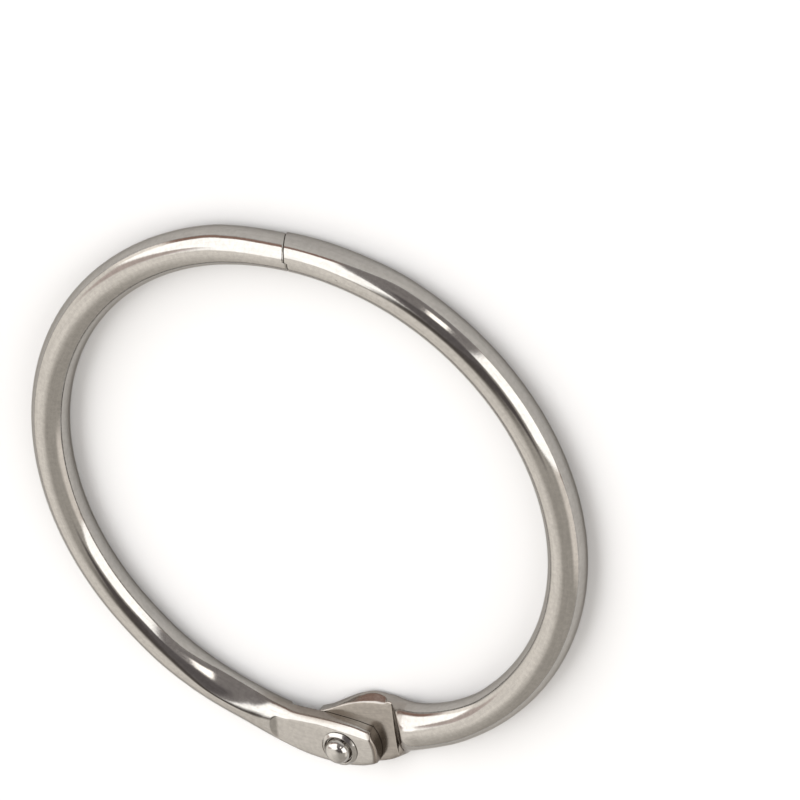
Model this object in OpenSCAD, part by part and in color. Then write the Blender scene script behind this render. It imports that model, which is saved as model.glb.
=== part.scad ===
// Loose-leaf binder ring, shown closed and lying flat.
// Two half rings of round wire are lapped and riveted at the hinge, where each wire end is
// pressed into a half-thick tongue. At the other end a round nose snaps into a socket.
// The ring's middle is the origin, the hinge is at -Y, the closure at +Y, and it lies on z = 0.

/* [Ring] */
// Diameter of the round wire
wire_d = 3.7; // [3.4:0.05:4.5]
// Diameter of the circle along the middle of the wire
ring_d = 53.7; // [44:0.1:66]

/* [Hinge] */
// How far right of the ring's middle the rivet stands
rivet_x = 2.25; // [1.5:0.05:2.8]
// How far outside the wire's middle line the rivet stands
rivet_out = 1.25; // [0.9:0.05:1.6]
// Height of the left tongue's front face over the wire's middle
face_z = 1.2; // [0.9:0.05:1.4]
// Thickness of the left tongue
tongue_t = 1.45; // [1.2:0.05:1.8]
// Gap between the two lapped faces
lap_gap = 0.05; // [0.02:0.01:0.1]
// Distance from the rivet to the round end of each tongue
tongue_end_r = 3.85; // [3.2:0.05:4.5]
// Rounding of the left tongue's front edge at its round end
tongue_edge_r = 0.5; // [0.2:0.05:0.6]
// Distance from the rivet to the foot of each lap shoulder
shoulder_r = 5.5; // [5:0.05:6.5]
// Slope of the lap shoulders
shoulder_angle = 52; // [45:1:70]
// Turn of the right shoulder across the wire
shoulder_turn = 3.7; // [0:0.1:6]
// Distance from the rivet back to where the front face starts
face_run = 5.8; // [5:0.1:7]
// Radius of the press run-out at the start of the front face
face_runout_r = 1.6; // [1:0.1:3]

/* [Spread of the tongues] */
// How far the left tongue reaches in from the wire's middle line
left_in = 1.6; // [1.4:0.05:2]
// How far the left tongue reaches out from the wire's middle line
left_out = 3.5; // [3.2:0.05:3.8]
// How far the right tongue bulges in from the wire's middle line
right_in = 4; // [3.8:0.05:4.3]
// How far in the right tongue's lap face reaches
right_lip = 3.3; // [3.1:0.05:3.6]
// Slope of the right tongue's inner wall, in degrees from upright
wall_draft = 33; // [20:1:45]
// How far the right tongue reaches out from the wire's middle line
right_out = 3.35; // [3:0.05:3.6]

/* [Rivet] */
// Diameter of the shank
shank_d = 2; // [1.6:0.05:2.4]
// Radial running clearance in the left tongue
shank_clear = 0.04; // [0.02:0.01:0.1]
// Diameter of the flange on the left tongue
flange_d = 3.75; // [3.4:0.05:4.2]
// Height of the flange
flange_h = 0.29; // [0.15:0.01:0.4]
// Diameter of the projecting tip
tip_d = 2.65; // [2.2:0.05:3]
// Height of the tip over the front face
tip_h = 1.3; // [1.2:0.05:1.6]
// Rounding of the tip's edge
tip_edge_r = 0.85; // [0.3:0.05:0.9]
// Diameter of the flush back end
back_d = 3; // [2.6:0.05:3.4]
// Depth of the flush back end
back_h = 0.35; // [0.25:0.05:0.5]

/* [Closure] */
// Diameter of the nose at its root
nose_d = 2.2; // [1.8:0.05:2.5]
// Diameter of the nose at its tip
nose_tip_d = 1.5; // [1.2:0.05:1.7]
// Length of the nose
nose_l = 1.6; // [1:0.05:2.2]
// Radial clearance of the nose in its socket
nose_clear = 0.12; // [0.1:0.01:0.2]
// How far right of the ring's middle the two ends meet
seam_x = 0.25; // [-0.5:0.05:0.5]
// Gap between the two closed ends
seam_gap = 0.05; // [0.03:0.01:0.1]
// How much longer the inner half of the left end is
seam_step = 0.28; // [0:0.02:0.4]
// Lean of the two end faces from square
seam_tilt = 20; // [0:1:25]
// Rounding of the left end's rim
left_rim = 0.45; // [0.2:0.05:0.55]
// Rounding of the right end's rim
right_rim = 0.1; // [0.05:0.05:0.3]
// How far the outside is flattened beside the closure
end_flat = 0.45; // [0:0.05:0.6]

/* [Hidden] */

ring_r = ring_d / 2;
wire_r = wire_d / 2;
rivet_y = -ring_r - rivet_out;
left_lap_z = face_z - tongue_t;
right_lap_z = left_lap_z - lap_gap;
shank_r = shank_d / 2;
left_worked = 46;         // degrees of the left half, from the hinge, shaped by the press
right_worked = 43;        // degrees of the right half, from the hinge, shaped by the press
left_flattened = 17;      // degrees of the left half, from the closure, flattened outside
right_flattened = 26;     // degrees of the right half, from the closure, flattened outside
pressed = 0.015;          // how far the pressed stretch stands proud of the drawn wire
front_skin = 0.05;        // height the left tongue has before its front face is planed
lap_skin = 0.32;          // height the right tongue has before its lap face is planed
no_wall = 6;              // puts the inner wall outside a section
belly_drop = 1;           // how far under the lap face the right tongue is widest
trim_from = 1.4;          // where the right tongue's end trim starts, from the rivet
back_inset = 0.02;        // how far the rivet's back end stands inside the tongue's back
flange_rim = 0.05;        // height of the flange's thin rim
flange_crest = 0.47;      // share of the way from tip to rim where the flange is highest
flange_top = 0.16;        // width of the flange's flat crest, as a share of the same way
groove = 0.11;            // width of the groove's floor round the tip, as a share of it too
groove_z = 0.06;          // height of the groove's floor
nose_root = 1;            // length of the nose buried in the left end
nose_neck = 0.3;          // share of the nose's length that is straight
rim_turn = 0.35;          // share of a rim's rounding that its second slope takes
rim_fall = 0.18;          // how far the first slope falls, as a share of the rounding
rim_slope = 1.3;          // fall of the second slope for each unit outwards
wire_lap = 0.5;           // degrees the drawn wire runs on inside a lofted stretch
past_end = 4;             // degrees a loft runs on past the closure before it is cut
far = 40;                 // reaches past everything near the hinge
tall = 6;                 // reaches past everything in height
section_points = 40;
station_step = 1;         // degrees between lofted sections by the hinge
end_step = 2;             // degrees between lofted sections by the closure
plate = [0.80, 0.78, 0.74];
bright_plate = [0.86, 0.84, 0.80];

// Sections of the pressed ends, by angle round the ring from the hinge's bottom:
// [angle, inner reach, outer reach, top, bottom, height of the widest point,
//  squareness of the inner side, squareness of the outer side]. A squareness of 2 is round.
// A ninth number is how far in the sloped inner wall stands at the height of the lap.
w = wire_r + pressed;
left_top = face_z + front_skin;
left_sections = [
    [-left_worked, w, w, w, -w, 0, 2, 2],
    [-36, w - 0.16, w + 0.14, w, -w, 0, 2, 2],
    [-27, w - 0.22, w + 0.2, w, -w, 0, 2, 2],
    [-21, w - 0.27, w + 0.28, w - 0.02, -w, 0, 2, 2],
    [-16, w - 0.35, w + 0.44, left_top + 0.49, -w, 0, 2, 2],
    [-12, left_in - 0.2, left_out - 1, left_top + 0.37, -w, 0, 2, 2.4],
    [-8, left_in - 0.22, left_out - 0.7, left_top + 0.21, -w, 0, 2, 3],
    [-5.5, left_in - 0.14, left_out - 0.48, left_top + 0.11, -w, left_lap_z, 3, 3.8],
    [-3, left_in - 0.05, left_out - 0.28, left_top + 0.04, -w, left_lap_z, 3.8, 4.3],
    [0, left_in, left_out - 0.1, left_top, -w, left_lap_z, 4.2, 4.5],
    [4, left_in - 0.13, left_out + 0.05, left_top, -w, left_lap_z, 3.8, 4.5],
    [8, left_in - 0.45, left_out - 0.05, left_top, -w, left_lap_z, 3.4, 4.5],
    [11, left_in - 0.9, left_out - 0.4, left_top, -w, left_lap_z, 3.4, 4.5],
    [14, left_in - 1.4, left_out - 1.2, left_top, -w, left_lap_z, 3.4, 4.5]
];
right_top = right_lap_z + lap_skin;
right_mid = right_lap_z - belly_drop;
right_sections = [
    [-6, right_in - 3.3, right_out - 0.5, right_top, -w, right_mid + 0.5, 4, 4, right_lip - 2.6],
    [0, right_in - 2.28, right_out, right_top, -w, right_mid + 0.5, 4, 4, right_lip - 1.71],
    [5, right_in - 1.06, right_out + 0.15, right_top, -w, right_mid + 0.3, 4, 4.5, right_lip - 0.67],
    [9, right_in - 0.29, right_out + 0.3, right_top, -w, right_mid + 0.1, 3.2, 4.5, right_lip - 0.13],
    [13, right_in, right_out + 0.05, right_top, -w, right_mid, 3.2, 4.5, right_lip],
    [16.8, right_in - 0.4, right_out - 0.6, right_top + 0.1, -w, right_mid, 3.2, 3.5, right_lip - 0.11],
    [18.6, right_in - 0.6, w + 0.4, w - 0.7, -w, right_mid, 2.4, 2.6, right_lip + 0.6],
    [21, w + 1.4, w + 0.15, w, -w, -0.7, 2, 2, no_wall],
    [25, w + 0.9, w, w, -w, -0.3, 2, 2, no_wall],
    [31, w + 0.48, w, w, -w, 0, 2, 2, no_wall],
    [37, w + 0.16, w, w, -w, 0, 2, 2, no_wall],
    [right_worked, w, w, w, -w, 0, 2, 2, no_wall]
];

// Sections of the two flattened stretches beside the closure, in the same form
left_end_sections = [
    [-180 - past_end, w, w - end_flat, w, -w, 0, 2, 2],
    [-178, w, w - end_flat, w, -w, 0, 2, 2],
    [-174, w, w - end_flat * 0.75, w, -w, 0, 2, 2],
    [left_flattened - 180, w, w, w, -w, 0, 2, 2]
];
right_end_sections = [
    [180 - right_flattened, w, w, w, -w, 0, 2, 2],
    [164, w, w - end_flat * 0.7, w, -w, 0, 2, 2],
    [172, w, w - end_flat, w, -w, 0, 2, 2],
    [180 + past_end, w, w - end_flat, w, -w, 0, 2, 2]
];

// A smooth curve through the rows of a table, at angle a
function row_slope(rows, i) = i == 0 || i == len(rows) - 1 ? 0 * rows[0]
    : (rows[i + 1] - rows[i - 1]) / (rows[i + 1][0] - rows[i - 1][0]);
function row_at(rows, i, a) =
    let (h = rows[i + 1][0] - rows[i][0], t = (a - rows[i][0]) / h, s = 1 - t)
    (1 + 2 * t) * s * s * rows[i] + t * s * s * h * row_slope(rows, i)
    + t * t * (3 - 2 * t) * rows[i + 1] - t * t * s * h * row_slope(rows, i + 1);
function row_before(rows, a, i = 0) =
    i >= len(rows) - 2 || a < rows[i + 1][0] ? i : row_before(rows, a, i + 1);

// One point of a section at angle p round the wire
function bent(v, squareness) = sign(v) * pow(abs(v), 2 / squareness);
function section_point(s, a, p) =
    let (
        squareness = cos(p) < 0 ? s[6] : s[7],
        middle = (s[2] - s[1]) / 2,
        across = middle + (s[1] + s[2]) / 2 * bent(cos(p), squareness),
        rise = sin(p) > 0 ? s[3] - s[5] : s[5] - s[4],
        z = s[5] + rise * bent(sin(p), squareness),
        wall = len(s) > 8 ? -s[8] - (left_lap_z - z) * tan(wall_draft) : across,
        r = ring_r + max(across, wall)
    )
    [r * sin(a), -r * cos(a), z];

// A loft through the sections of a table
module pressed_end(rows, step = station_step) {
    first = rows[0][0];
    last = rows[len(rows) - 1][0];
    count = ceil((last - first) / step);
    n = section_points;
    points = [
        for (k = [0:count])
            let (a = first + (last - first) * k / count, s = row_at(rows, row_before(rows, a), a))
            for (j = [0:n - 1]) section_point(s, a, 360 * j / n)
    ];
    sides = [
        for (k = [0:count - 1], j = [0:n - 1])
            let (b = k * n + j, c = k * n + (j + 1) % n)
            each [[b, c, b + n], [c, c + n, b + n]]
    ];
    caps = [[for (j = [n - 1:-1:0]) j], [for (j = [0:n - 1]) count * n + j]];
    polyhedron(points, concat(sides, caps), convexity = 6);
}

// The drawn wire, from one angle to another, counted from +X
module wire_arc(from, to) {
    rotate([0, 0, from]) rotate_extrude(angle = to - from, $fn = 180)
        translate([ring_r, 0]) circle(wire_r, $fn = 48);
}

// What the press takes away beside a lap: everything over the lap face, up a sloped shoulder
module lap_cut(lap_z) {
    run = tall / tan(shoulder_angle);
    translate([0, far / 2, lap_z]) rotate([90, 0, 0]) linear_extrude(far)
        polygon([[-far / 2, 0], [shoulder_r, 0], [shoulder_r + run, tall], [-far / 2, tall]]);
}

// What the press takes away over the left tongue's front face, with its run-out
module face_cut() {
    translate([-face_run, far / 2, face_z]) rotate([90, 0, 0]) linear_extrude(far) {
        square([far / 2, tall]);
        translate([0, face_runout_r]) circle(face_runout_r, $fn = 64);
    }
}

// What is trimmed off outside a tongue's round end, on the side that +X points to
module end_trim(top_z, edge_r, from = 0) {
    intersection() {
        rotate_extrude($fn = 96) difference() {
            translate([1, -tall]) square([far / 2, 2 * tall]);
            translate([0, -tall]) square([tongue_end_r - edge_r, 3 * tall]);
            translate([0, -tall]) square([tongue_end_r, tall + top_z - edge_r]);
            translate([tongue_end_r - edge_r, top_z - edge_r]) circle(edge_r, $fn = 48);
        }
        translate([from, -far / 2, -tall]) cube([far, far, 2 * tall]);
    }
}

// The inner or the outer half of the space round the closure, parted at split_y
module closure_half(inner, split_y) {
    translate([-tall, inner ? split_y - wire_d : split_y, -tall])
        cube([2 * tall, wire_d, 2 * tall]);
}

// What is cut off past an end face that crosses the wire's middle at x; side is +1 for the
// left end, which faces right, and -1 for the right end
module face_off(x, side) {
    translate([x, ring_r, 0]) rotate([0, seam_tilt + side * 90, 0])
        translate([-tall, -wire_d, 0]) cube([2 * tall, 2 * wire_d, tall]);
}

// What rounds the rim of the same face
module rim_off(x, side, edge) {
    reach = wire_r + 1;
    turn_r = wire_r - rim_turn * edge;
    fall = rim_fall * edge;
    translate([x, ring_r, 0]) rotate([0, seam_tilt + side * 90, 0])
        scale([1 / cos(seam_tilt), 1, 1]) rotate_extrude($fn = 72) polygon([
            [wire_r - edge, 1], [wire_r - edge, 0], [turn_r, -fall],
            [reach, -fall - (reach - turn_r) * rim_slope], [reach, 1]
        ]);
}

// Everything cut off at one end of the closure, in its two halves
module end_cut(side, edge) {
    for (inner = [true, false]) {
        x = seam_x + (inner ? seam_step : 0) - side * seam_gap / 2;
        intersection() {
            closure_half(inner, ring_r - side * seam_gap / 2);
            union() {
                face_off(x, side);
                rim_off(x, side, edge);
            }
        }
    }
}

// The nose on the left end, along +X
module nose() {
    tip_round = nose_tip_d / 4;
    reach = nose_root + nose_l;
    translate([seam_x - nose_root, ring_r, 0]) rotate([0, 90, 0]) rotate_extrude($fn = 64)
        polygon([
            [0, 0], [nose_d / 2, 0], [nose_d / 2, nose_root + nose_l * nose_neck],
            [nose_tip_d / 2, reach - tip_round], [nose_tip_d / 2 - tip_round, reach], [0, reach]
        ]);
}

// The socket in the right end
module socket_cut() {
    translate([seam_x - nose_root, ring_r, 0]) rotate([0, 90, 0])
        cylinder(r = nose_d / 2 + nose_clear, h = nose_root + nose_l + nose_clear, $fn = 64);
}

module at_rivet() {
    translate([rivet_x, rivet_y, 0]) children();
}

module left_half_ring() {
    color(plate) translate([0, 0, wire_r]) difference() {
        union() {
            wire_arc(90 + left_flattened - wire_lap, 270 - left_worked + wire_lap);
            difference() {
                pressed_end(left_end_sections, end_step);
                end_cut(1, left_rim);
            }
            nose();
            pressed_end(left_sections);
        }
        at_rivet() rotate([0, 180, 0]) lap_cut(-left_lap_z);
        at_rivet() face_cut();
        at_rivet() end_trim(face_z, tongue_edge_r);
        at_rivet() translate([0, 0, -tall])
            cylinder(r = shank_r + shank_clear, h = 2 * tall, $fn = 64);
    }
}

module right_half_ring() {
    color(plate) translate([0, 0, wire_r]) difference() {
        union() {
            wire_arc(right_worked - 90 - wire_lap, 90 - right_flattened + wire_lap);
            pressed_end(right_end_sections, end_step);
            pressed_end(right_sections);
        }
        end_cut(-1, right_rim);
        socket_cut();
        at_rivet() rotate([0, 0, shoulder_turn]) lap_cut(right_lap_z);
        at_rivet() rotate([0, 0, 180]) end_trim(tall, tongue_edge_r, trim_from);
        at_rivet() back_seat_cut();
    }
}

// The rivet's hole in the right tongue, opened out at the back for the flush end
module back_seat_cut() {
    translate([0, 0, -tall]) cylinder(r = shank_r, h = 2 * tall, $fn = 64);
    translate([0, 0, -wire_r - back_h]) cylinder(r = back_d / 2, h = 2 * back_h, $fn = 64);
}

// The rivet: flush back end, shank, grooved flange over the left tongue and domed tip
module hinge_rivet() {
    tip_r = tip_d / 2;
    spread = flange_d / 2 - tip_r;
    crest_r = tip_r + spread * flange_crest;
    back_z = back_inset - wire_r;
    flange_z = face_z + lap_gap;
    tip_top = face_z + tip_h;
    color(bright_plate) translate([rivet_x, rivet_y, wire_r]) rotate_extrude($fn = 64) {
        translate([0, back_z]) square([back_d / 2, back_h - back_inset]);
        translate([0, back_z]) square([shank_r, flange_z - back_z]);
        translate([0, flange_z]) polygon([
            [0, 0], [flange_d / 2, 0], [flange_d / 2, flange_rim], [crest_r, flange_h],
            [crest_r - spread * flange_top, flange_h], [tip_r + spread * groove, groove_z],
            [0, groove_z]
        ]);
        translate([0, flange_z]) square([tip_r, tip_top - tip_edge_r - flange_z]);
        translate([0, flange_z]) square([tip_r - tip_edge_r, tip_top - flange_z]);
        intersection() {
            translate([0, flange_z]) square([tip_r, tip_top - flange_z]);
            translate([tip_r - tip_edge_r, tip_top - tip_edge_r]) circle(tip_edge_r, $fn = 48);
        }
    }
}

left_half_ring();
right_half_ring();
hinge_rivet();
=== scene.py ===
import math

import bmesh
import bpy
import numpy as np
from mathutils import Matrix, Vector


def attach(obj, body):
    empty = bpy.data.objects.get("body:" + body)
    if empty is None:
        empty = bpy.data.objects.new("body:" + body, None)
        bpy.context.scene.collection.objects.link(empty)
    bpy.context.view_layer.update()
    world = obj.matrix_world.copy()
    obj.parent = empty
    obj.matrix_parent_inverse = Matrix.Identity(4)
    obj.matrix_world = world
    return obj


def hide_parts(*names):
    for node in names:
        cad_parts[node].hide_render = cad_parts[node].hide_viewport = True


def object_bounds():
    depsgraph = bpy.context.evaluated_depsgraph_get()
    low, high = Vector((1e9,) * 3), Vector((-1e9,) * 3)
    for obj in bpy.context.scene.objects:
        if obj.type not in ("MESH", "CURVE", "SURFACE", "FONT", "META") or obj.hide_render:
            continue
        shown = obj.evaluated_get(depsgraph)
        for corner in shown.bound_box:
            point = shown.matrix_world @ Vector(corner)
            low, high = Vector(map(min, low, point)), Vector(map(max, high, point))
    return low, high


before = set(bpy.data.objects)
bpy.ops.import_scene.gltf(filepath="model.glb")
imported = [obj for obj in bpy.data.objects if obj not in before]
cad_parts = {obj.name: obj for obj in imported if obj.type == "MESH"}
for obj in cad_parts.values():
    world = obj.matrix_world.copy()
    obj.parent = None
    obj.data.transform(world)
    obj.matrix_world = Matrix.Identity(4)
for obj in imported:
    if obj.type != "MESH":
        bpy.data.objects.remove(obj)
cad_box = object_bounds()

# ---------------------------------------------------------------------------
# The table, the studio and the camera. The table is a plain pale sheet that the ring lies
# on. The studio is a pale tent with two large soft boxes, a narrow one and a dark side.
table_r = 3.0

bpy.ops.mesh.primitive_circle_add(vertices=96, radius=table_r, fill_type="NGON")
table = bpy.context.object
table.name = "table"
table.location = (0, 0, cad_box[0][2])

table_paint = bpy.data.materials.new("table_paint")
table_paint.use_nodes = True
sheet = table_paint.node_tree.nodes["Principled BSDF"]
sheet.inputs["Base Color"].default_value = (0.78, 0.78, 0.78, 1)
sheet.inputs["Roughness"].default_value = 0.9
sheet.inputs["Specular IOR Level"].default_value = 0.0
table.data.materials.append(table_paint)

studio = bpy.data.worlds.new("studio")
bpy.context.scene.world = studio
studio.use_nodes = True
tent = studio.node_tree
tent.nodes.clear()


def tent_math(operation, a, b=None):
    node = tent.nodes.new("ShaderNodeMath")
    node.operation = operation
    for socket, value in zip(node.inputs, (a, b)):
        if isinstance(value, (int, float)):
            socket.default_value = value
        elif value is not None:
            tent.links.new(value, socket)
    return node.outputs[0]


def ramp_up(value, start, width):
    node = tent.nodes.new("ShaderNodeMapRange")
    node.interpolation_type = "SMOOTHSTEP"
    node.inputs["From Min"].default_value = start
    node.inputs["From Max"].default_value = start + width
    tent.links.new(value, node.inputs["Value"])
    return node.outputs["Result"]


direction = tent.nodes.new("ShaderNodeTexCoord").outputs["Generated"]
split = tent.nodes.new("ShaderNodeSeparateXYZ")
tent.links.new(direction, split.inputs[0])
height = tent_math("MULTIPLY", tent_math("ARCSINE", split.outputs["Z"]), 180 / math.pi)


def bearing_from(middle):
    """Degrees round the studio from a middle bearing, between -180 and 180."""
    turn = math.radians(middle)
    ahead = tent_math(
        "ADD",
        tent_math("MULTIPLY", split.outputs["X"], math.cos(turn)),
        tent_math("MULTIPLY", split.outputs["Y"], math.sin(turn)),
    )
    aside = tent_math(
        "SUBTRACT",
        tent_math("MULTIPLY", split.outputs["Y"], math.cos(turn)),
        tent_math("MULTIPLY", split.outputs["X"], math.sin(turn)),
    )
    return tent_math("MULTIPLY", tent_math("ARCTAN2", aside, ahead), 180 / math.pi)


def patch(low_bearing, high_bearing, low, high, side_soft, low_soft, high_soft):
    """How much of a soft-edged panel is in a direction, from 0 to 1."""
    middle = (low_bearing + high_bearing) / 2
    reach = (high_bearing - low_bearing) / 2
    away = tent_math("ABSOLUTE", bearing_from(middle))
    across = tent_math("SUBTRACT", 1.0, ramp_up(away, reach - side_soft / 2, side_soft))
    over = ramp_up(height, low - low_soft / 2, low_soft)
    under = tent_math("SUBTRACT", 1.0, ramp_up(height, high - high_soft / 2, high_soft))
    return tent_math("MULTIPLY", across, tent_math("MULTIPLY", over, under))


def lay_over(below, colour, amount):
    node = tent.nodes.new("ShaderNodeMix")
    node.data_type = "RGBA"
    tent.links.new(amount, node.inputs["Factor"])
    below_socket, colour_socket = node.inputs[6], node.inputs[7]
    if isinstance(below, tuple):
        below_socket.default_value = (*below, 1)
    else:
        tent.links.new(below, below_socket)
    colour_socket.default_value = (*colour, 1)
    return node.outputs[2]


# low bearing, high bearing, low, high, side softness, low softness, high softness, colour
panels = [
    (150, 246, 4, 71, 56, 10, 16, (1.64, 1.58, 1.50)),    # pale side of the tent
    (319, 368, 0, 29, 16, 8, 16, (1.62, 1.53, 1.44)),     # glow beside the first box
    (-200, 200, 75, 120, 2, 14, 20, (0.17, 0.15, 0.14)),  # dark top
    (-25, 96, 57, 120, 24, 10, 20, (0.18, 0.16, 0.16)),
    (31, 103, 2, 84, 5, 6, 14, (0.45, 0.42, 0.42)),       # dark side
    (31, 82, 50, 84, 10, 10, 14, (0.24, 0.22, 0.225)),
    (53, 62, 25, 46, 3, 7, 7, (3.6, 3.5, 3.4)),           # narrow box
    (170, 188, 22, 66, 7, 10, 10, (1.05, 0.90, 0.86)),    # seam beside the second box
    (-8, 42, -1, 6, 5, 3, 4, (0.42, 0.20, 0.07)),         # warm foot of the first box
    (96, 156, 3, 17, 8, 5, 5, (0.55, 0.35, 0.29)),        # warm foot of the second box
    (152, 171, 3, 26, 6, 5, 6, (2.1, 2.0, 1.9)),          # its pale foot
    (-4, 40, 3.5, 49.5, 4, 4, 6, (2.95, 2.95, 2.95)),     # first box
    (96, 170, 17, 79, 4, 4, 12, (2.95, 2.95, 2.95)),      # second box, and its far corner
    (140, 194, 54, 78, 12, 10, 8, (2.95, 2.95, 2.95)),
]
shade = (0.765, 0.725, 0.675)
for panel in panels:
    shade = lay_over(shade, panel[7], patch(*panel[:7]))
under_skyline = tent_math("SUBTRACT", 1.0, ramp_up(height, 1.5, 3))
shade = lay_over(shade, (0.85, 0.85, 0.85), under_skyline)
glow = tent.nodes.new("ShaderNodeBackground")
tent.links.new(shade, glow.inputs["Color"])
sky_out = tent.nodes.new("ShaderNodeOutputWorld")
tent.links.new(glow.outputs[0], sky_out.inputs["Surface"])

camera = bpy.data.objects.new("camera", bpy.data.cameras.new("camera"))
bpy.context.collection.objects.link(camera)
camera.data.lens = 225
camera.data.sensor_width = 36
camera.data.clip_start = 0.01
camera.data.clip_end = 10
# The camera's own three directions, then where it stands in metres.
right = (0.902201, -0.058480, -0.427333)
up = (-0.188801, 0.837257, -0.513181)
back = (0.387798, 0.543673, 0.744333)
place = (0.1872335, 0.2604460, 0.3405876)
camera.matrix_world = Matrix(
    [(right[i], up[i], back[i], place[i]) for i in range(3)] + [(0, 0, 0, 1)]
)
bpy.context.scene.camera = camera
bpy.context.scene.view_settings.view_transform = "Standard"

# ---------------------------------------------------------------------------
# Left half ring: drawn steel wire bent to a half circle and nickel plated. Its hinge end is
# pressed to a half-thick tongue with a flat front and a round end, dull inside where the tool
# rubbed; painted shade also darkens the colour of its inner wall and round end. Its other end
# carries the snap's nose.
ring_r, wire_r = 26.85, 1.85          # millimetres, as are all sizes of the wire
half_length = 84.4                    # of the wire in one half, from hinge to closure
rivet = np.array([2.25, -28.10])
face_z, lap_z = 1.20, -0.25
end_r, end_edge = 3.85, 0.40
slope = math.tan(math.radians(52))
lean = math.tan(math.radians(20))
draft = math.tan(math.radians(33))

# Degrees round the wire's section, from the outer side over the top. The closure's end faces
# step at the top and at the bottom, within half_step either way, so points stand there too.
half_step = 0.7
step_edges = [90 - half_step, 90 + half_step, 270 - half_step, 270 + half_step]
around = np.unique(np.append(np.arange(128) * 360 / 128, step_edges))
cos_p, sin_p = np.cos(np.radians(around)), np.sin(np.radians(around))
inner_part = (np.clip((around - step_edges[0]) / (2 * half_step), 0, 1)
              * np.clip((step_edges[3] - around) / (2 * half_step), 0, 1))


def press_row(rows, a):
    """The row of a press table at angle a, on a smooth curve through its rows."""
    rows = np.asarray(rows, float)
    i = int(np.clip(np.searchsorted(rows[:, 0], a, "right") - 1, 0, len(rows) - 2))
    gap = rows[i + 1, 0] - rows[i, 0]

    def tangent(k):
        if k in (0, len(rows) - 1):
            return 0 * rows[0]
        return (rows[k + 1] - rows[k - 1]) / (rows[k + 1, 0] - rows[k - 1, 0])

    t = (a - rows[i, 0]) / gap
    s = 1 - t
    return ((1 + 2 * t) * s * s * rows[i] + t * s * s * gap * tangent(i)
            + t * t * (3 - 2 * t) * rows[i + 1] - t * t * s * gap * tangent(i + 1))


def bent(v, squareness):
    return np.sign(v) * np.abs(v) ** (2 / squareness)


def section(rows, a):
    """Outline of the wire at one angle: how far out and how high, for each point around."""
    _, inner, outer, top, low, widest, inner_square, outer_square, lip, bevel = press_row(rows, a)
    inside = np.where(sin_p > 0, bevel, inner_square)
    square = np.where(cos_p < 0, inside, outer_square)
    rise = np.where(sin_p > 0, top - widest, widest - low)
    high = widest + rise * bent(sin_p, square)
    out = (outer - inner) / 2 + (inner + outer) / 2 * bent(cos_p, square)
    return soft_max(out, -lip - (lap_z - high) * draft, 0.05), high


def ring_points(angle, out, high):
    turn = np.radians(angle) + 0 * out
    return np.stack([(ring_r + out) * np.sin(turn), -(ring_r + out) * np.cos(turn), high], 1)


def soft_min(a, b, k):
    h = np.clip(0.5 + 0.5 * (b - a) / k, 0, 1)
    return b * (1 - h) + a * h - k * h * (1 - h)


def soft_max(a, b, k):
    return -soft_min(-a, -b, k)


def straight(angle, out, high):
    """The same point on the wire as it was before bending, for the drawing marks."""
    return np.stack([out + 0 * angle, high, ring_r * np.radians(angle) + 0 * out], 1)


def skin(name, rings, marks):
    """A tube through rings of points; the first closes to a point, the last to a wall."""
    n = len(around)
    points = [rings[0].mean(0)] + [p for ring in rings for p in ring]
    laid = [marks[0].mean(0)] + [p for ring in marks for p in ring]
    faces = [(0, 1 + j, 1 + (j + 1) % n) for j in range(n)]
    for k in range(len(rings) - 1):
        b = 1 + k * n
        for j in range(n):
            m = (j + 1) % n
            faces.append((b + j, b + n + j, b + n + m, b + m))
    b = 1 + (len(rings) - 1) * n
    for j in range(n // 2):
        a1, a2 = b + j, b + j + 1
        b1, b2 = b + (n - j) % n, b + n - j - 1
        faces.append(tuple(dict.fromkeys((a1, a2, b2, b1))))
    mesh = bpy.data.meshes.new(name)
    mesh.from_pydata([tuple(p / 1000) for p in points], [], faces)
    wire_place = mesh.attributes.new("wire_place", "FLOAT_VECTOR", "POINT")
    wire_place.data.foreach_set("vector", np.array(laid, float).ravel())
    work = bmesh.new()
    work.from_mesh(mesh)
    bmesh.ops.recalc_face_normals(work, faces=work.faces)
    work.to_mesh(mesh)
    work.free()
    piece = bpy.data.objects.new(name, mesh)
    bpy.context.collection.objects.link(piece)
    return piece


def lathe(name, profile, segments):
    """A shape turned about the rivet's axis from (radius, height) pairs, closed at both ends."""
    mesh = bpy.data.meshes.new(name)
    work = bmesh.new()
    circle = np.radians(np.arange(segments) * 360 / segments)
    last = None
    for radius, high in profile:
        if radius == 0:
            ring = [work.verts.new((rivet[0] / 1000, rivet[1] / 1000, high / 1000))]
        else:
            ring = [work.verts.new(((rivet[0] + radius * math.cos(c)) / 1000,
                                    (rivet[1] + radius * math.sin(c)) / 1000,
                                    high / 1000)) for c in circle]
        if last is not None:
            for j in range(segments):
                m = (j + 1) % segments
                corner = [last[j % len(last)], last[m % len(last)],
                          ring[m % len(ring)], ring[j % len(ring)]]
                work.faces.new(tuple(dict.fromkeys(corner)))
        last = ring
    bmesh.ops.recalc_face_normals(work, faces=work.faces)
    work.to_mesh(mesh)
    work.free()
    piece = bpy.data.objects.new(name, mesh)
    bpy.context.collection.objects.link(piece)
    return piece


def drill(piece, profile):
    """Cuts a turned shape out of a piece, about the rivet's axis."""
    cutter = lathe("cutter", profile, 96)
    cut = piece.modifiers.new("drill", "BOOLEAN")
    cut.operation = "DIFFERENCE"
    cut.solver = "EXACT"
    cut.object = cutter
    bpy.context.view_layer.update()
    seen = piece.evaluated_get(bpy.context.evaluated_depsgraph_get())
    drilled = bpy.data.meshes.new_from_object(seen)
    piece.modifiers.clear()
    piece.data = drilled
    bpy.data.objects.remove(cutter)


crease = 38                           # degrees; a sharper turn shows as an edge


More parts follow.
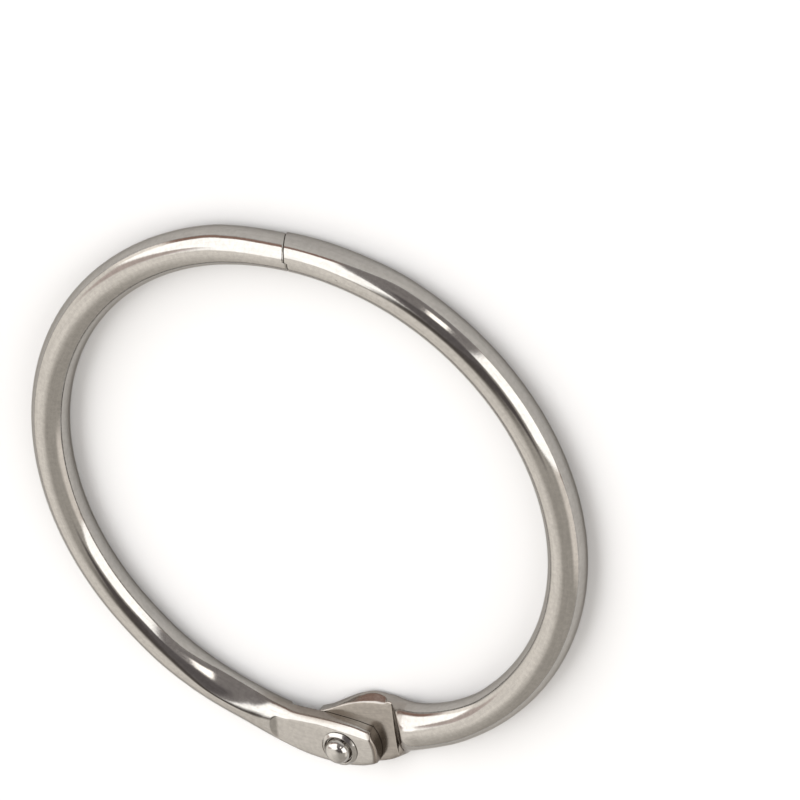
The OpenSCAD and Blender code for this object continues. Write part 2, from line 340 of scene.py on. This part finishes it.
def finish_metal(piece, metal):
    piece.data.materials.clear()
    piece.data.materials.append(metal)
    piece.data.polygons.foreach_set("use_smooth", [True] * len(piece.data.polygons))
    piece.data.set_sharp_from_angle(angle=math.radians(crease))


def ramp(value, start, stop):
    return np.clip((value - start) / (stop - start), 0, 1)


def dull_where_pressed(piece, share):
    """Notes on each point how much the press has dulled the plating there, and how much painted
    shade darkens its colour.
    """
    spots = np.empty(3 * len(piece.data.vertices))
    piece.data.vertices.foreach_get("co", spots)
    spots = spots.reshape(-1, 3) * 1000 - (*rivet, wire_r)
    pressed = piece.data.attributes.new("pressed", "FLOAT", "POINT")
    pressed.data.foreach_set("value", share(*spots.T))


def nickel_plate(name, tone, mark_depth, grain_depth):
    """Bright nickel on drawn steel, rougher where pressed. Its colour is darkened there too:
    partly the press's dull plating, partly painted shade where the tongues meet. The depths of its
    drawing lines and of its fine grain are in metres."""
    metal = bpy.data.materials.new(name)
    metal.use_nodes = True
    tree = metal.node_tree
    shader = tree.nodes["Principled BSDF"]
    shader.inputs["Metallic"].default_value = 1.0
    shader.inputs["Specular Tint"].default_value = (0.60, 0.58, 0.56, 1)

    def add(kind, **values):
        node = tree.nodes.new(kind)
        for key, value in values.items():
            if key in node.inputs:
                node.inputs[key].default_value = value
            else:
                setattr(node, key, value)
        return node

    def noise_along_wire(across, along, detail, roughness):
        """Noise drawn out along the wire; the scales are per millimetre."""
        stretched = add("ShaderNodeMapping")
        stretched.inputs["Scale"].default_value = (across, across, along)
        tree.links.new(drawn.outputs["Vector"], stretched.inputs["Vector"])
        noise = add("ShaderNodeTexNoise", Scale=1.0, Detail=detail, Roughness=roughness)
        tree.links.new(stretched.outputs[0], noise.inputs["Vector"])
        return noise.outputs["Fac"]

    def noise_all_over(per_metre):
        noise = add("ShaderNodeTexNoise", Scale=per_metre, Detail=3.0, Roughness=0.6)
        tree.links.new(body.outputs["Object"], noise.inputs["Vector"])
        return noise.outputs["Fac"]

    def spread_out(value, low, high, new_low, new_high):
        node = add("ShaderNodeMapRange")
        for socket, size in zip(node.inputs[1:5], (low, high, new_low, new_high)):
            socket.default_value = size
        tree.links.new(value, node.inputs["Value"])
        return node.outputs["Result"]

    drawn = add("ShaderNodeAttribute", attribute_name="wire_place")
    body = add("ShaderNodeTexCoord")
    pressed = add("ShaderNodeAttribute", attribute_name="pressed")
    lines = noise_along_wire(9.0, 0.55, 5.0, 0.6)
    grain = noise_all_over(5200.0)

    mottle = add("ShaderNodeMath", operation="ADD")
    tree.links.new(noise_all_over(2400.0), mottle.inputs[0])
    tree.links.new(noise_along_wire(3.2, 0.25, 6.0, 0.65), mottle.inputs[1])
    tint = add("ShaderNodeValToRGB")
    for stop, position, share in zip(tint.color_ramp.elements, (0.2, 0.8), (0.93, 1.06)):
        stop.position = position
        stop.color = (*[c * share for c in tone], 1)
    tree.links.new(spread_out(mottle.outputs[0], 0.7, 1.3, 0.0, 1.0), tint.inputs["Fac"])
    # darkens the colour where pressed: partly dull plating from the press, partly painted shade on
    # the tongues' inner walls, round end and lap face
    dulled_and_shaded = add("ShaderNodeMix", data_type="RGBA", blend_type="MULTIPLY")
    dulled_and_shaded.inputs[7].default_value = (0.62, 0.57, 0.53, 1)
    tree.links.new(pressed.outputs["Fac"], dulled_and_shaded.inputs[0])
    tree.links.new(tint.outputs["Color"], dulled_and_shaded.inputs[6])
    tree.links.new(dulled_and_shaded.outputs[2], shader.inputs["Base Color"])

    rougher = add("ShaderNodeMath", operation="MULTIPLY_ADD")
    rougher.inputs[1].default_value = 0.16
    tree.links.new(pressed.outputs["Fac"], rougher.inputs[0])
    tree.links.new(spread_out(grain, 0.3, 0.7, 0.065, 0.11), rougher.inputs[2])
    tree.links.new(rougher.outputs[0], shader.inputs["Roughness"])

    line_bump = add("ShaderNodeBump", Strength=1.0, Distance=mark_depth)
    tree.links.new(lines, line_bump.inputs["Height"])
    grain_bump = add("ShaderNodeBump", Strength=1.0, Distance=grain_depth)
    tree.links.new(grain, grain_bump.inputs["Height"])
    tree.links.new(line_bump.outputs["Normal"], grain_bump.inputs["Normal"])
    tree.links.new(grain_bump.outputs["Normal"], shader.inputs["Normal"])
    return metal


w = wire_r
far = 9                               # a level or a wall that is out of reach, so it cuts nothing
seam_x, seam_gap, seam_step, end_flat = 0.25, 0.016, 0.28, 0.45
nose_root, nose_tip, nose_l = 1.10, 0.75, 1.60
tongue_in, tongue_out, tongue_top = 1.60, 3.50, face_z + 0.05
# Each row of a press table: degrees from the hinge, reach inwards and outwards, top, bottom,
# widest level, squareness inside and outside, where the sloped wall stands, and squareness of
# the inner top. A squareness of 2 is round, and less than 2 is bevelled.
left_press = [
    [-46, w, w, w, -w, 0, 2, 2, far, 2],
    [-36, w - 0.16, w + 0.14, w, -w, 0, 2, 2, far, 2],
    [-30, w - 0.20, w + 0.18, w - 0.01, -w, 0, 2, 2, far, 1.65],
    [-25, w - 0.24, w + 0.23, w - 0.04, -w, 0, 2, 2, far, 1.36],
    [-21, w - 0.27, w + 0.28, w - 0.10, -w, 0, 2, 2, far, 1.30],
    [-16, w - 0.35, w + 0.44, w - 0.20, -w, 0, 2, 2, far, 1.44],
    [-12, tongue_in - 0.20, tongue_out - 1, tongue_top + 0.27, -w, 0, 2, 2.4, far, 1.7],
    [-8, tongue_in - 0.22, tongue_out - 0.70, tongue_top + 0.14, -w, 0, 2, 3, far, 2.2],
    [-5.5, tongue_in - 0.14, tongue_out - 0.48, tongue_top + 0.08, -w, lap_z, 3, 3.8, far, 3.3],
    [-3, tongue_in - 0.05, tongue_out - 0.28, tongue_top + 0.04, -w, lap_z, 3.8, 4.3, far, 3.8],
    [0, tongue_in, tongue_out - 0.10, tongue_top, -w, lap_z, 4.2, 4.5, far, 4.2],
    [4, tongue_in - 0.13, tongue_out + 0.05, tongue_top, -w, lap_z, 3.8, 4.5, far, 3.8],
    [8, tongue_in - 0.45, tongue_out - 0.05, tongue_top, -w, lap_z, 3.4, 4.5, far, 3.4],
    [11, tongue_in - 0.90, tongue_out - 0.40, tongue_top, -w, lap_z, 3.4, 4.5, far, 3.4],
    [14, tongue_in - 1.40, tongue_out - 1.20, tongue_top, -w, lap_z, 3.4, 4.5, far, 3.4],
]
left_end_press = [
    [-184, w, w - end_flat, w, -w, 0, 2, 2, far, 2],
    [-178, w, w - end_flat, w, -w, 0, 2, 2, far, 2],
    [-174, w, w - end_flat * 0.75, w, -w, 0, 2, 2, far, 2],
    [-163, w, w, w, -w, 0, 2, 2, far, 2],
]


def end_face_x(side, high):
    """Where the leaning, stepped end face stands; side is +1 for the left end."""
    return seam_x - side * seam_gap / 2 + seam_step * inner_part + high * lean


def closing_rings(side, press, edge, backs, bore):
    """The wire's last stretch, its rounded rim and its end face in to the bore radius."""
    rings, marks = [], []
    steps = [(back, 0.0) for back in backs] + [
        (edge * (1 - math.sin(f)), edge * (1 - math.cos(f)))
        for f in np.radians(np.linspace(0, 90, 10))]
    for before, inset in steps:
        turn = -side * 180.0 + 0 * around
        for _ in range(4):            # a ring's section and its angle depend on each other
            cuts = [section(press, -side * abs(t)) for t in turn]
            out = np.array([c[0][i] for i, c in enumerate(cuts)]) - inset * cos_p
            high = np.array([c[1][i] for i, c in enumerate(cuts)]) - inset * sin_p
            x = end_face_x(side, high) - side * before
            off = np.degrees(np.arcsin(x / (ring_r + out)))
            turn = -180.0 - off if side > 0 else 180.0 - off
        rings.append(ring_points(turn, out, high))
        marks.append(straight(turn, out, high))
    rim = rings[-1]
    for f in np.linspace(0, 1, 8)[1:]:
        y = rim[:, 1] * (1 - f) + (ring_r + bore * cos_p) * f
        z = rim[:, 2] * (1 - f) + bore * sin_p * f
        rings.append(np.stack([end_face_x(side, z), y, z], 1))
        marks.append(np.stack([y - ring_r, z, 0 * z - side * ring_r * math.pi], 1))
    return rings, marks


run_x, run_r, lap_start = -6.5, 1.2, -5.5
face_ease, lap_ease = 0.06, 0.03      # how softly the flat faces meet the wire


def left_surface(points):
    """Planes the front face and the lap face into points of the left tongue."""
    x, y, z = points[:, 0] - rivet[0], points[:, 1] - rivet[1], points[:, 2]
    run = np.clip(run_x - x, 0, run_r - 0.0001)
    ceiling = face_z + run_r - np.sqrt(run_r**2 - run**2)
    ceiling = np.where(x < run_x - run_r + 0.01, far, ceiling)
    beyond = np.where(x > 0, end_r - np.hypot(x, y), far)
    drop = np.clip(end_edge - beyond, 0, end_edge)
    ceiling = ceiling - (end_edge - np.sqrt(np.maximum(end_edge**2 - drop**2, 0)))
    z = soft_min(z, ceiling, face_ease)
    floor = np.where(x < lap_start, lap_z + (x - lap_start) * slope, lap_z)
    z = soft_max(z, floor, lap_ease)
    return np.stack([points[:, 0], points[:, 1], z], 1)


def tongue_end(press, sign, from_x, start, stop):
    """The angle at which each line along the tongue meets its round end."""
    keep, gone = np.full(len(around), float(start)), np.full(len(around), float(stop))
    for _ in range(26):               # each round halves what is left to search
        middle = (keep + gone) / 2
        cuts = [section(press, t) for t in middle]
        out = np.array([c[0][i] for i, c in enumerate(cuts)])
        p = ring_points(middle, out, out)
        x, y = sign * (p[:, 0] - rivet[0]), p[:, 1] - rivet[1]
        outside = np.minimum(x - from_x, np.hypot(x, y) - end_r) > 0
        gone, keep = np.where(outside, middle, gone), np.where(outside, keep, middle)
    return keep


def rings_along(angles, press=None):
    """Rings of points along the wire, round where there is no press table."""
    cuts = [section(press, a) if press else (wire_r * cos_p, wire_r * sin_p) for a in angles]
    return ([ring_points(a, *cut) for a, cut in zip(angles, cuts)],
            [straight(a, *cut) for a, cut in zip(angles, cuts)])


def tongue_rings(press, stations, end, surface):
    """Rings along a tongue: at the stations first, then drawing in to its round end."""
    rings, marks = rings_along(stations, press)
    rings = [surface(ring) for ring in rings]
    ease = 1 - (1 - np.linspace(0, 1, 60)[1:]) ** 1.7
    for t in ease:
        turn = stations[-1] * (1 - t) + end * t
        cuts = [section(press, a) for a in turn]
        out = np.array([c[0][i] for i, c in enumerate(cuts)])
        high = np.array([c[1][i] for i, c in enumerate(cuts)])
        rings.append(surface(ring_points(turn, out, high)))
        marks.append(straight(turn, out, high))
    return rings, marks


left_rim = 0.24
left_backs = [5.0, 4.0, 3.0, 2.2, 1.6, 1.1, 0.75, 0.55]
rings, marks = closing_rings(1, left_end_press, left_rim, left_backs, nose_root)
rings, marks = rings[::-1], marks[::-1]
root_x = rings[0][:, 0]
taper_from, taper_to = seam_x + nose_l * 0.3, seam_x + nose_l - nose_tip / 2
nose = []
for f in np.linspace(0, 1, 14)[1:]:
    x = root_x * (1 - f) + taper_to * f
    share = np.clip((x - taper_from) / (taper_to - taper_from), 0, 1)
    radius = nose_root + (nose_tip - nose_root) * share
    nose.append(np.stack([x, ring_r + radius * cos_p, radius * sin_p], 1))
for f in np.radians(np.linspace(0, 90, 9)[1:]):
    radius = nose_tip / 2 + nose_tip / 2 * math.cos(f)
    nose.append(np.stack([taper_to + nose_tip / 2 * math.sin(f) + 0 * cos_p,
                          ring_r + radius * cos_p, radius * sin_p], 1))
nose_marks = [np.stack([r[:, 1] - ring_r, r[:, 2], r[:, 0] - half_length], 1) for r in nose]
rings, marks = nose[::-1] + rings, nose_marks[::-1] + marks
flattened = rings_along(np.arange(-167, -163, 1.0), left_end_press)
plain = rings_along(np.arange(-163, -46, 1.0))
stations = np.concatenate([np.arange(-46, -20, 0.5), np.arange(-20, -8, 0.12),
                           np.arange(-8, 4.6, 0.3)])
left_end = tongue_end(left_press, 1, 0.0, 5.0, 14.0)
tongue = tongue_rings(left_press, stations, left_end, left_surface)
rings, marks = (a + b + c + d for a, b, c, d in zip((rings, marks), flattened, plain, tongue))
lift = np.array([0, 0, wire_r])
left_ring = skin("left_half_ring_wire", [r + lift for r in rings], marks)
shank_r, shank_clear = 1.0, 0.04
bore_r = shank_r + shank_clear
drill(left_ring, [(0, 1.0), (bore_r, 1.0), (bore_r, 4.0), (0, 4.0)])


def left_pressed(x, y, z):
    """The tongue's inner wall and its round end, where the press tool rubbed and where painted
    shade darkens the colour.
    """
    out = np.hypot(x + rivet[0], y + rivet[1]) - ring_r
    inner = ramp(-out, 1.0, 1.45) * ramp(face_z - z, 0.02, 0.25) * ramp(x, -9.5, -7.0)
    end = ramp(np.hypot(x, y), end_r - 0.40, end_r - 0.15) * ramp(x, 0.0, 0.6)
    return np.clip(inner + end, 0, 1)


nickel = nickel_plate("nickel_plate", (0.365, 0.350, 0.328), 1.2e-6, 1.6e-6)
dull_where_pressed(left_ring, left_pressed)
finish_metal(left_ring, nickel)
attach(left_ring, "swinging_half")
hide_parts("left_half_ring")

# ---------------------------------------------------------------------------
# Right half ring: the same plated wire. Its hinge end is pressed lower and wider, with a
# bulged inner side, a sloped shoulder behind the lap and a dull lap face; painted shade also
# darkens the colour of the lap face, shoulder and inner wall. Its other end holds the snap's
# socket.
lap_gap = 0.05
right_lap = lap_z - lap_gap
shoulder_turn = math.radians(3.7)
bulge, back_out, wall_in = 4.00, 3.35, 3.31
lap_top, lap_mid = right_lap + 0.32, right_lap - 1.00
right_press = [
    [-6, bulge - 3.3, back_out - 0.5, lap_top, -w, lap_mid + 0.5, 4, 4, wall_in - 2.6, 4],
    [0, bulge - 2.28, back_out, lap_top, -w, lap_mid + 0.5, 4, 4, wall_in - 1.71, 4],
    [5, bulge - 1.06, back_out + 0.15, lap_top, -w, lap_mid + 0.3, 4, 4.5, wall_in - 0.67, 4],
    [9, bulge - 0.29, back_out + 0.3, lap_top, -w, lap_mid + 0.1, 3.2, 4.5, wall_in - 0.13, 3.2],
    [13, bulge, back_out + 0.05, lap_top, -w, lap_mid, 3.2, 4.5, wall_in, 3.2],
    [16.8, bulge - 0.4, back_out - 0.6, lap_top + 0.1, -w, lap_mid, 3.2, 3.5, wall_in - 0.11, 3.2],
    [18.6, bulge - 0.6, w + 0.4, w - 0.7, -w, lap_mid, 2.4, 2.6, wall_in + 0.6, 2.4],
    [21, w + 1.4, w + 0.15, w, -w, -0.7, 2, 2, 6, 2],
    [25, w + 0.9, w, w, -w, -0.3, 2, 2, far, 2],
    [31, w + 0.48, w, w, -w, 0, 2, 2, far, 2],
    [37, w + 0.16, w, w, -w, 0, 2, 2, far, 2],
    [43, w, w, w, -w, 0, 2, 2, far, 2],
]
right_end_press = [
    [154, w, w, w, -w, 0, 2, 2, far, 2],
    [164, w, w - end_flat * 0.7, w, -w, 0, 2, 2.3, far, 2],
    [172, w, w - end_flat, w - 0.04, -w, 0, 2, 2.6, far, 2],
    [184, w, w - end_flat, w - 0.02, -w, 0, 2, 2.4, far, 2],
]
nose_clear = 0.12
socket_r, socket_end = nose_root + nose_clear, seam_x + nose_l + nose_clear
shoulder_ease, edge_ease = 0.08, 0.22


def right_surface(points):
    """Planes the lap face and its shoulder into points of the right tongue."""
    x, y = points[:, 0] - rivet[0], points[:, 1] - rivet[1]
    along = x * math.cos(shoulder_turn) + y * math.sin(shoulder_turn)
    ceiling = soft_max(0 * along + right_lap, right_lap + (along + lap_start) * slope,
                       shoulder_ease)
    return np.stack([points[:, 0], points[:, 1], soft_min(points[:, 2], ceiling, edge_ease)], 1)


right_rim = 0.05
right_backs = [5.0, 4.0, 3.0, 2.0, 1.2, 0.7, 0.4, 0.2]
rings, marks = closing_rings(-1, right_end_press, right_rim, right_backs, socket_r)
rings, marks = rings[::-1], marks[::-1]
mouth_x = rings[0][:, 0]
socket = [np.stack([mouth_x * (1 - f) + socket_end * f, ring_r + socket_r * cos_p,
                    socket_r * sin_p], 1) for f in np.linspace(0, 1, 8)[1:]]
socket.append(np.stack([socket_end + 0 * cos_p, ring_r + 0.1 * cos_p, 0.1 * sin_p], 1))
socket_marks = [np.stack([r[:, 1] - ring_r, r[:, 2], r[:, 0] + half_length], 1) for r in socket]
rings, marks = socket[::-1] + rings, socket_marks[::-1] + marks
flattened = rings_along(np.arange(167, 154, -1.0), right_end_press)
plain = rings_along(np.arange(154, 43, -1.0))
stations = np.concatenate([np.arange(43, 24, -0.5), np.arange(24, 11, -0.12),
                           np.arange(11, 3, -0.3)])
right_end = tongue_end(right_press, -1, 1.4, 5.0, -6.0)
tongue = tongue_rings(right_press, stations, right_end, right_surface)
rings, marks = (a + b + c + d for a, b, c, d in zip((rings, marks), flattened, plain, tongue))
right_ring = skin("right_half_ring_wire", [r + lift for r in rings], marks)
back_r, back_t = 1.5, 0.35
drill(right_ring, [(0, -1.0), (back_r, -1.0), (back_r, back_t), (shank_r, back_t),
                   (shank_r, 4.0), (0, 4.0)])


def right_pressed(x, y, z):
    """The lap face, its shoulder and the sloped inner wall: where the press dulled the plating,
    and where painted shade darkens the colour.
    """
    out = np.hypot(x + rivet[0], y + rivet[1]) - ring_r
    along = x * math.cos(shoulder_turn) + y * math.sin(shoulder_turn)
    lap = ramp(z, right_lap - 0.30, right_lap - 0.05) * (1 - ramp(along, 7.15, 7.45))
    wall = 0.5 * ramp(-out, 1.5, 3.0) * (1 - ramp(x, 5.0, 11.0))
    return np.maximum(0.65 * lap, wall) * (1 - ramp(y, 6.0, 9.0))


dull_where_pressed(right_ring, right_pressed)
finish_metal(right_ring, nickel)
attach(right_ring, "fixed_half")
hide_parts("right_half_ring")

# ---------------------------------------------------------------------------
# Hinge rivet: a turned steel rivet, plated like the wire and pressed into the right tongue.
# Its back end is closed flush there. In front it has a thin flange with a sloped rim and a
# groove inside it, and a domed tip with a rounded edge.
flange_gap = 0.05
flange_z = face_z + flange_gap + wire_r
tip_top = face_z + 1.30 + wire_r
tip_r, tip_edge, dome_r = 1.32, 0.85, 2.6
profile = [(0, 0.02), (back_r - 0.05, 0.02), (back_r, 0.05), (back_r, back_t),
           (shank_r, back_t), (shank_r, flange_z),
           (1.84, flange_z - 0.038), (1.87, flange_z - 0.02), (1.86, flange_z + 0.05),
           (1.79, flange_z + 0.11), (1.60, flange_z + 0.26), (1.56, flange_z + 0.285),
           (1.52, flange_z + 0.29), (1.48, flange_z + 0.27), (1.45, flange_z + 0.22),
           (1.38, flange_z + 0.06), (tip_r + 0.02, flange_z + 0.06), (tip_r, flange_z + 0.09)]
full = math.asin((tip_r - tip_edge) / (dome_r - tip_edge))
dome_z = tip_top - dome_r
edge_z = dome_z + (dome_r - tip_edge) * math.cos(full)
profile += [(tip_r - tip_edge + tip_edge * math.cos(f), edge_z + tip_edge * math.sin(f))
            for f in np.linspace(0, math.pi / 2 - full, 16)]
profile += [(dome_r * math.sin(f), dome_z + dome_r * math.cos(f))
            for f in np.linspace(full, 0, 9)[1:]]
rivet_piece = lathe("hinge_rivet_turned", profile, 128)
rivet_metal = nickel_plate("rivet_plate", (0.38, 0.366, 0.345), 0.0, 0.8e-6)
finish_metal(rivet_piece, rivet_metal)
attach(rivet_piece, "fixed_half")
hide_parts("hinge_rivet")
